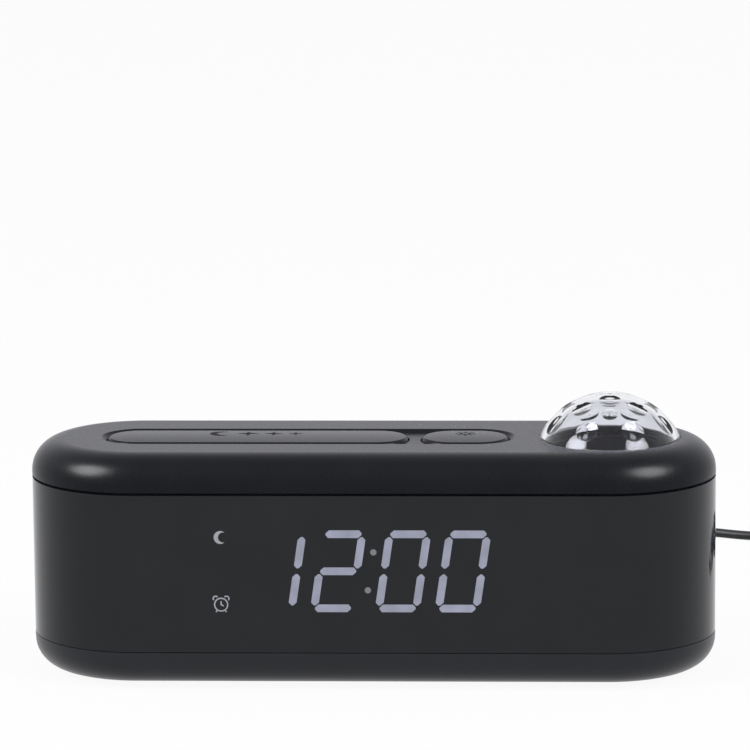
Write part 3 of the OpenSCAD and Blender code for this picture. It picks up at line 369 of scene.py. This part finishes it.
# Each one's two colours, range of roughness, size and height of its grain, and own settings
finishes = {
    "satin_black": moulded(
        "satin_black", (0.002, 0.003, 0.005), (0.004, 0.005, 0.007), (0.25, 0.33), GRAIN, GRAIN_H,
        Specular_IOR_Level=0.13, Sheen_Weight=0.1, **HAZE),
    # Lit copy of satin_black for the bottom shell: a lighter colour, which is painted light, and a
    # stronger reflection, so the lower shell shows brighter
    "satin_lit_lower": moulded(
        "satin_lit_lower", (0.003, 0.004, 0.007), (0.005, 0.006, 0.010), (0.28, 0.36), GRAIN, GRAIN_H,
        Specular_IOR_Level=0.33, Sheen_Weight=0.06, **HAZE),
    "key_satin": moulded(
        "key_satin", (0.014, 0.014, 0.017), (0.019, 0.019, 0.023), (0.3, 0.4), GRAIN, GRAIN_H,
        Specular_IOR_Level=0.33, Sheen_Weight=0.06, **HAZE),
    "gloss_black": moulded(
        "gloss_black", (0.001, 0.002, 0.004), (0.003, 0.004, 0.006), (0.07, 0.11), 9 * MM, 2e-6,
        Specular_IOR_Level=0.31, Sheen_Weight=0.05, **HAZE),
    "rubber": moulded(
        "rubber", (0.012, 0.012, 0.012), (0.022, 0.022, 0.022), (0.65, 0.85), 0.5 * MM, 2e-5),
    "steel": drawn_metal(
        "steel", (0.5, 0.5, 0.5), (0.66, 0.65, 0.63), (0.22, 0.38), (1, 1, 6)),
    "port_metal": drawn_metal(
        "port_metal", (0.43, 0.43, 0.43), (0.49, 0.49, 0.48), (0.16, 0.3), (1, 8, 1)),
    "black_plastic": moulded(
        "black_plastic", (0.012, 0.012, 0.013), (0.022, 0.022, 0.024), (0.42, 0.58), GRAIN, 8e-6),
    "white_plastic": moulded(
        "white_plastic", (0.72, 0.72, 0.70), (0.8, 0.8, 0.78), (0.35, 0.5), 0.5 * MM, GRAIN_H),
    "tongue_grey": moulded(
        "tongue_grey", (0.11, 0.11, 0.12), (0.14, 0.14, 0.15), (0.35, 0.5), 0.5 * MM, GRAIN_H),
    "switch_stem": moulded(
        "switch_stem", (0.62, 0.57, 0.44), (0.72, 0.67, 0.55), (0.4, 0.55), 0.5 * MM, GRAIN_H),
    "board_green": circuit_board("board_green", (0.012, 0.12, 0.05), (0.03, 0.2, 0.09)),
    "blue_sleeve": moulded(
        "blue_sleeve", (0.02, 0.04, 0.2), (0.03, 0.06, 0.26), (0.2, 0.32), 1 * MM, GRAIN_H),
    "glow": moulded(
        "glow", (0.6, 0.57, 0.7), (0.75, 0.72, 0.85), (0.3, 0.45), 0.6 * MM, GRAIN_H,
        Subsurface_Weight=0.3),
    "led": moulded(
        "led", (0.75, 0.7, 0.4), (0.85, 0.8, 0.5), (0.15, 0.3), 0.6 * MM, GRAIN_H),
    # Grey-blue colour of the clear parts: painted shade that dims what shows through them, standing
    # in for darker surroundings behind
    "clear_lens": clear_plastic(
        "clear_lens", (0.80, 0.81, 0.86), (0.88, 0.885, 0.92), (0.0, 0.03)),
    "motor_metal": drawn_metal(
        "motor_metal", (0.5, 0.5, 0.51), (0.62, 0.62, 0.62), (0.25, 0.42), (1, 1, 8)),
    "wire_red": moulded(
        "wire_red", (0.4, 0.02, 0.02), (0.5, 0.03, 0.03), (0.3, 0.45), 1 * MM, GRAIN_H),
    "cord_black": moulded(
        "cord_black", (0.006, 0.007, 0.010), (0.010, 0.011, 0.015), (0.4, 0.52), 0.5 * MM, 1.2e-5,
        Specular_IOR_Level=0.3),
    "print_white": moulded(
        "print_white", (0.6, 0.6, 0.62), (0.72, 0.72, 0.74), (0.4, 0.55), 0.3 * MM, 2e-6),
    "inner_black": moulded(
        "inner_black", (0.004, 0.004, 0.006), (0.007, 0.007, 0.009), (0.45, 0.6), GRAIN, GRAIN_H,
        Specular_IOR_Level=0.12),
    # Top keys' signs: dark, dull raised marks whose colour is painted shade, standing in for the
    # shade inside engraved signs
    "engraving_shade": moulded(
        "engraving_shade", (0.002, 0.002, 0.003), (0.005, 0.005, 0.007), (0.6, 0.75), 0.3 * MM, 4e-6,
        Specular_IOR_Level=0.1),
}

# Nodes whose finish differs a little from the rest of their slot; the bottom shell's is a lit copy
# of satin_black, with painted light
OWN_FINISH = {
    "bottom_shell": "satin_lit_lower",
    "alarm_button": "key_satin",
    "setting_button": "key_satin",
    "down_button": "key_satin",
    "up_button": "key_satin",
    "projector_cup": "inner_black",
    "usb_a_tongue": "tongue_grey",
}

for part in frame["record"]["subparts"]:
    mesh = nodes[part["node"]].data
    mesh.materials.clear()
    mesh.materials.append(finishes[OWN_FINISH.get(part["node"], part["material_slot"])])
cord.data.materials.append(finishes["cord_black"])

# ---------------------------------------------------------------- marks

DECAL_T = 0.03 * MM
# A mitred corner reaches out by at most its usual reach divided by this
MITRE_LIMIT = 0.3


def ribbon(points, width, closed=False):
    """Quads that follow a line of 2D points, width wide, with mitred corners."""
    points = [Vector(p) for p in points]
    count = len(points)
    sides = []
    for i, point in enumerate(points):
        back = points[(i - 1) % count] if closed or i > 0 else 2 * point - points[1]
        ahead = points[(i + 1) % count] if closed or i < count - 1 else 2 * point - points[i - 1]
        into = (point - back).normalized()
        out = (ahead - point).normalized()
        normal = Vector((-into.y - out.y, into.x + out.x)).normalized()
        reach = width / 2 / max(normal.dot(Vector((-into.y, into.x))), MITRE_LIMIT)
        sides.append((point + normal * reach, point - normal * reach))
    pairs = count if closed else count - 1
    return [
        [sides[i][0], sides[i][1], sides[(i + 1) % count][1], sides[(i + 1) % count][0]]
        for i in range(pairs)
    ]


def arc(x, y, radius, start, stop, count):
    """Points on a circle from start to stop, in degrees, in count steps."""
    return [
        (x + radius * math.cos(math.radians(start + (stop - start) * k / count)),
         y + radius * math.sin(math.radians(start + (stop - start) * k / count)))
        for k in range(count + 1)
    ]


def ring(x, y, radius):
    """The 24 corners of a round outline."""
    return arc(x, y, radius, 0, 345, 23)


def crescent(x, y, radius):
    """Outline of a crescent that opens to the right."""
    # Angle of the tips on the outer circle, and how far aside the inner circle's middle lies
    tip = 50
    bite = 0.45 * radius
    tip_x = radius * math.cos(math.radians(tip)) - bite
    tip_y = radius * math.sin(math.radians(tip))
    lean = math.degrees(math.atan2(tip_y, tip_x))
    outer = arc(x, y, radius, tip, 360 - tip, 32)
    inner = arc(x + bite, y, math.hypot(tip_x, tip_y), 360 - lean, lean, 32)
    return outer + inner[1:-1]


def add_marks(name, shapes, place, finish, body, crown_r=None):
    """Thin raised marks: 2D outlines set on the plane of place, each DECAL_T high.

    With crown_r they follow a top that is domed across its depth by that radius.
    """
    mesh = bmesh.new()
    for shape in shapes:
        low = [mesh.verts.new(place @ Vector((p[0], p[1], 0))) for p in shape]
        high = [mesh.verts.new(place @ Vector((p[0], p[1], DECAL_T))) for p in shape]
        mesh.faces.new(list(reversed(low)))
        mesh.faces.new(high)
        for i in range(len(shape)):
            j = (i + 1) % len(shape)
            mesh.faces.new((low[i], low[j], high[j], high[i]))
    bmesh.ops.recalc_face_normals(mesh, faces=mesh.faces)
    if crown_r:
        for vert in mesh.verts:
            vert.co.z -= vert.co.y ** 2 / (2 * crown_r)
    data = bpy.data.meshes.new(name)
    mesh.to_mesh(data)
    mesh.free()
    data.materials.append(finish)
    marks = bpy.data.objects.new(name, data)
    scene.collection.objects.link(marks)
    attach(marks, body)


def on_front(x, z):
    """Plane of the band's front face, seen from the front."""
    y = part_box("band_sleeve")[0].y
    return Matrix(((1, 0, 0, x), (0, 0, -1, y), (0, 1, 0, z), (0, 0, 0, 1)))


def on_rear(x, y, z):
    """Plane that faces the rear, seen from the rear."""
    return Matrix(((-1, 0, 0, x), (0, 0, 1, y), (0, 1, 0, z), (0, 0, 0, 1)))


def on_top(x, y, z):
    """Plane that faces up, seen from above with the front below."""
    return Matrix(((1, 0, 0, x), (0, 1, 0, y), (0, 0, 1, z), (0, 0, 0, 1)))


# ---------------------------------------------------------------- display

DIGIT_H = 22.4 * MM
DIGIT_W = 12.1 * MM
SEG_T = 2.1 * MM
# Share of a segment's width that its blunt ends keep
SEG_BLUNT = 0.25
# Gap that an upright segment and a level one leave at each end
GAP_UPRIGHT = 0.8 * MM
GAP_LEVEL = 0.2 * MM
DIGIT_LEAN = math.tan(math.radians(8.5))
DIGIT_PITCH = 16 * MM
# Extra room for the colon between the digits
COLON_SPACE = 1.3 * MM
TIME_X = 0.4 * MM
COLON_HALF = 5.2 * MM
COLON_D = 1.7 * MM
# The two signs left of the time: their middle, half width, height above or below the middle of
# the digits, and width of line
SIGN_X = -39.7 * MM
SIGN_HALF = 2.2 * MM
SIGN_UP = 9.2 * MM
SIGN_DOWN = 9 * MM
SIGN_LINE = 0.34 * MM
TIME = "1200"
# Segments a to g that each numeral lights
NUMERALS = {"0": "abcdef", "1": "bc", "2": "abdeg"}

digits_z = middle("display_guides").z


def segment(first, last):
    """Outline of one segment between two points: long, with blunt pointed ends."""
    along = (last - first).normalized()
    across = Vector((-along.y, along.x))
    gap = GAP_UPRIGHT if abs(along.y) > 0.5 else GAP_LEVEL
    start = first + along * gap
    stop = last - along * gap
    half = SEG_T / 2
    blunt = SEG_BLUNT * half
    outline = [
        start + across * blunt, start + along * (half - blunt) + across * half,
        stop - along * (half - blunt) + across * half, stop + across * blunt,
        stop - across * blunt, stop - along * (half - blunt) - across * half,
        start + along * (half - blunt) - across * half, start - across * blunt,
    ]
    return [(p.x + p.y * DIGIT_LEAN, p.y) for p in outline]


def numeral(lit, x):
    """Outlines of a numeral's lit segments, its middle at x."""
    w = (DIGIT_W - SEG_T) / 2
    h = (DIGIT_H - SEG_T) / 2
    ends = {
        "a": ((-w, h), (w, h)), "b": ((w, h), (w, 0)), "c": ((w, 0), (w, -h)),
        "d": ((-w, -h), (w, -h)), "e": ((-w, -h), (-w, 0)), "f": ((-w, 0), (-w, h)),
        "g": ((-w, 0), (w, 0)),
    }
    shapes = [segment(Vector(ends[s][0]), Vector(ends[s][1])) for s in lit]
    return [[(x + px, py) for px, py in shape] for shape in shapes]


def alarm_clock(half, line):
    """Round clock with two bells, two feet and hands, as strokes."""
    face = half * 0.8
    low = -half * 0.1
    strokes = ribbon(ring(0, low, face), line, closed=True)
    strokes += ribbon([(0, low + face * 0.55), (0, low), (face * 0.4, low - face * 0.2)], line)
    for s in (-1, 1):
        bell_cap = arc(s * half * 0.66, half * 0.66, half * 0.3, 90 - s * 130, 90 + s * 50, 10)
        strokes += ribbon(bell_cap, line)
        strokes += ribbon(
            [(s * face * 0.55, low - face * 0.85), (s * face * 0.8, low - face * 1.15)], line)
    return strokes


def add_display():
    """The lit numerals, colon and signs, as thin shapes on the band's front face."""
    glow = glowing("display_glow", (0.22, 0.235, 0.30), (0.30, 0.31, 0.42), 1.0)
    faint = glowing("display_faint", (0.13, 0.13, 0.16), (0.18, 0.18, 0.21), 1.0)
    dim = glowing("display_dim", (0.26, 0.26, 0.30), (0.34, 0.34, 0.40), 1.0)
    shapes = []
    for k, lit in enumerate(TIME):
        x = TIME_X + (k - 1.5) * DIGIT_PITCH + math.copysign(COLON_SPACE / 2, k - 1.5)
        shapes += numeral(NUMERALS[lit], x)
    add_marks("time_digits", shapes, on_front(0, digits_z), glow, "root")
    dots = [
        ring(TIME_X + s * COLON_HALF * DIGIT_LEAN, s * COLON_HALF, COLON_D / 2)
        for s in (-1, 1)
    ]
    add_marks("time_colon", dots, on_front(0, digits_z), faint, "root")
    half_day = [crescent(0, 0, SIGN_HALF * 0.8)]
    add_marks(
        "night_sign", half_day, on_front(SIGN_X, digits_z + SIGN_UP), dim, "root")
    add_marks(
        "alarm_sign", alarm_clock(SIGN_HALF, SIGN_LINE), on_front(SIGN_X, digits_z - SIGN_DOWN),
        dim, "root")


add_display()

# ---------------------------------------------------------------- signs on the keys and ports

# Radius of the top keys' domed tops
CROWN_R = 95.9 * MM
TOP_SIGN_Y = 2.5 * MM
TOP_SIGN_HALF = 3 * MM
SIGN_BELOW_KEY = 7.3 * MM
SIGN_BELOW_INPUT = 9.4 * MM
SIGN_BELOW_OUTPUT = 10.9 * MM
# Half the width of a rear sign
ICON_HALF = 1.15 * MM
ICON_LINE = 0.3 * MM


def star(x, y, radius):
    """Four-pointed star."""
    points = []
    for k in range(8):
        reach = radius if k % 2 == 0 else radius * 0.34
        angle = math.radians(90 + 45 * k)
        points.append((x + reach * math.cos(angle), y + reach * math.sin(angle)))
    return points


def night_row(half):
    """Crescent and three stars in a row, each star smaller than the last."""
    shapes = [crescent(-half * 3.4, 0, half)]
    for x, size in ((-0.9, 0.95), (1.4, 0.8), (3.4, 0.65)):
        shapes.append(star(half * x, 0, half * size))
    return shapes


def sun(half):
    """Ring with eight rays."""
    line = half * 0.16
    shapes = ribbon(ring(0, 0, half * 0.42), line, closed=True)
    for k in range(8):
        ray = Vector((math.cos(math.radians(45 * k)), math.sin(math.radians(45 * k)))) * half
        shapes += ribbon([ray * 0.64, ray * 0.92], line)
    return shapes


def bell(half):
    """Bell with its clapper and knob, as solid shapes."""
    outline = [(-half, -half * 0.55), (half, -half * 0.55), (half * 0.68, -half * 0.2)]
    outline += arc(0, half * 0.22, half * 0.62, 0, 180, 16)
    outline.append((-half * 0.68, -half * 0.2))
    clapper = arc(0, -half * 0.82, half * 0.2, 0, 345, 15)
    knob = arc(0, half * 0.95, half * 0.14, 0, 330, 11)
    return [outline, clapper, knob]


def gear(half, line):
    """Ring with eight teeth."""
    shapes = ribbon(ring(0, 0, half * 0.6), line, closed=True)
    for k in range(8):
        tooth = Vector((math.cos(math.radians(45 * k)), math.sin(math.radians(45 * k)))) * half
        shapes += ribbon([tooth * 0.66, tooth], line)
    return shapes


def triangle(half, up):
    """Solid triangle, its point up (1) or down (-1)."""
    return [[(-half, -up * half * 0.75), (half, -up * half * 0.75), (0, up * half * 0.75)]]


def arrow(half, line, way):
    """Arrow over a tray, into it (way -1) or out of it (way 1)."""
    tip = half * 0.1 if way < 0 else half * 1.3
    tail = half * 1.3 if way < 0 else half * 0.1
    head = half * 0.45
    shapes = ribbon([(0, tail), (0, tip)], line)
    shapes += ribbon([(-head, tip - way * head), (0, tip), (head, tip - way * head)], line)
    shapes += ribbon([(-half, 0), (-half, -half * 0.7), (half, -half * 0.7), (half, 0)], line)
    return shapes


def add_signs():
    """The top keys' signs in painted engraving shade, and the printed ones under the rear keys and
    ports.
    """
    white = finishes["print_white"]
    # Painted shade for the top keys' signs, in place of an engraving's shaded recess
    dark = finishes["engraving_shade"]
    for node, body, name, shapes in (
            ("snooze_bar", "snooze_key", "snooze_sign", night_row(TOP_SIGN_HALF)),
            ("light_button", "light_key", "light_sign", sun(TOP_SIGN_HALF))):
        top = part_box(node)[1].z
        add_marks(
            name, shapes, on_top(middle(node).x, TOP_SIGN_Y, top), dark, body,
            crown_r=CROWN_R)
    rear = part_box("band_sleeve")[1].y
    for node, name, shapes in (
            ("alarm_button", "sign_bell", bell(ICON_HALF)),
            ("setting_button", "sign_gear", gear(ICON_HALF, ICON_LINE)),
            ("down_button", "sign_down", triangle(ICON_HALF, -1)),
            ("up_button", "sign_up", triangle(ICON_HALF, 1))):
        spot = middle(node)
        add_marks(
            name, shapes, on_rear(spot.x, rear, spot.z - SIGN_BELOW_KEY), white, "root")
    for node, name, way, below in (
            ("usb_c_shell", "sign_in", -1, SIGN_BELOW_INPUT),
            ("usb_a_shell", "sign_out", 1, SIGN_BELOW_OUTPUT)):
        spot = middle(node)
        add_marks(
            name, arrow(ICON_HALF, ICON_LINE, way), on_rear(spot.x, rear, spot.z - below), white,
            "root")


add_signs()

# ---------------------------------------------------------------- floor and light

FLOOR_HALF = 8.0
# Share of white that the floor shows as background; the rest is its lit surface, with the shadow
FLOOR_GLOW = 0.93
FLOOR_COLOUR = (0.86, 0.86, 0.87, 1)
AMBIENT = 0.6
# From the clock to the lamps: to the side, a little in front, and above
WAY_LEFT = Vector((-0.694, -0.324, 0.643))
WAY_RIGHT = Vector((0.642, -0.417, 0.643))
# Each lamp's power, distance, width, height and way
LAMPS = {
    "lamp_left": (6.4, 1.3, 0.5, 0.5, WAY_LEFT),
    "lamp_right": (5.8, 1.3, 0.5, 0.5, WAY_RIGHT),
}
# Softboxes that only show as highlights on glossy surfaces
SOFTBOXES = {
    "softbox_left": (22.0, 1.1, 0.6, 0.6, WAY_LEFT),
    "softbox_right": (19.0, 1.1, 0.6, 0.6, WAY_RIGHT),
}


def background_rays(tree):
    """1 for rays that show the background: from the camera, in gloss and through glass."""
    path = tree.nodes.new("ShaderNodeLightPath")
    total = path.outputs["Is Camera Ray"]
    for kind in ("Is Glossy Ray", "Is Transmission Ray"):
        node = tree.nodes.new("ShaderNodeMath")
        node.operation = "MAXIMUM"
        tree.links.new(total, node.inputs[0])
        tree.links.new(path.outputs[kind], node.inputs[1])
        total = node.outputs[0]
    return total


def add_floor():
    """Pale floor that glows white as background and keeps the clock's shadow."""
    mesh = bmesh.new()
    bmesh.ops.create_grid(mesh, x_segments=8, y_segments=8, size=FLOOR_HALF)
    data = bpy.data.meshes.new("floor")
    mesh.to_mesh(data)
    mesh.free()
    floor = bpy.data.objects.new("floor", data)
    scene.collection.objects.link(floor)
    material = bpy.data.materials.new("floor")
    material.use_nodes = True
    tree = material.node_tree
    tree.nodes.clear()
    output = tree.nodes.new("ShaderNodeOutputMaterial")
    diffuse = tree.nodes.new("ShaderNodeBsdfDiffuse")
    diffuse.inputs["Color"].default_value = FLOOR_COLOUR
    glow = tree.nodes.new("ShaderNodeEmission")
    share = tree.nodes.new("ShaderNodeMath")
    share.operation = "MULTIPLY"
    share.inputs[1].default_value = FLOOR_GLOW
    tree.links.new(background_rays(tree), share.inputs[0])
    mix = tree.nodes.new("ShaderNodeMixShader")
    tree.links.new(share.outputs[0], mix.inputs["Fac"])
    tree.links.new(diffuse.outputs[0], mix.inputs[1])
    tree.links.new(glow.outputs[0], mix.inputs[2])
    tree.links.new(mix.outputs[0], output.inputs["Surface"])
    data.materials.append(material)


def add_world():
    """Soft light from all round, and a plain white background."""
    world = bpy.data.worlds.new("studio")
    scene.world = world
    world.use_nodes = True
    tree = world.node_tree
    tree.nodes.clear()
    output = tree.nodes.new("ShaderNodeOutputWorld")
    light = tree.nodes.new("ShaderNodeBackground")
    light.inputs["Strength"].default_value = AMBIENT
    shown = tree.nodes.new("ShaderNodeBackground")
    mix = tree.nodes.new("ShaderNodeMixShader")
    for node in (light, shown):
        node.inputs["Color"].default_value = (1, 1, 1, 1)
    tree.links.new(background_rays(tree), mix.inputs["Fac"])
    tree.links.new(light.outputs[0], mix.inputs[1])
    tree.links.new(shown.outputs[0], mix.inputs[2])
    tree.links.new(mix.outputs[0], output.inputs["Surface"])


def add_lamp(name, power, distance, width, height, way):
    """Area lamp that lies that way from the clock and faces it."""
    data = bpy.data.lights.new(name, "AREA")
    data.shape = "ELLIPSE"
    data.size = width
    data.size_y = height
    data.energy = power
    lamp = bpy.data.objects.new(name, data)
    lamp.location = AIM + way.normalized() * distance
    lamp.rotation_euler = (-way).to_track_quat("-Z", "Y").to_euler()
    lamp.visible_camera = False
    scene.collection.objects.link(lamp)
    return lamp


add_floor()
add_world()
for name, values in LAMPS.items():
    add_lamp(name, *values).visible_glossy = False
for name, values in SOFTBOXES.items():
    add_lamp(name, *values).visible_diffuse = False

scene.view_settings.view_transform = "Standard"
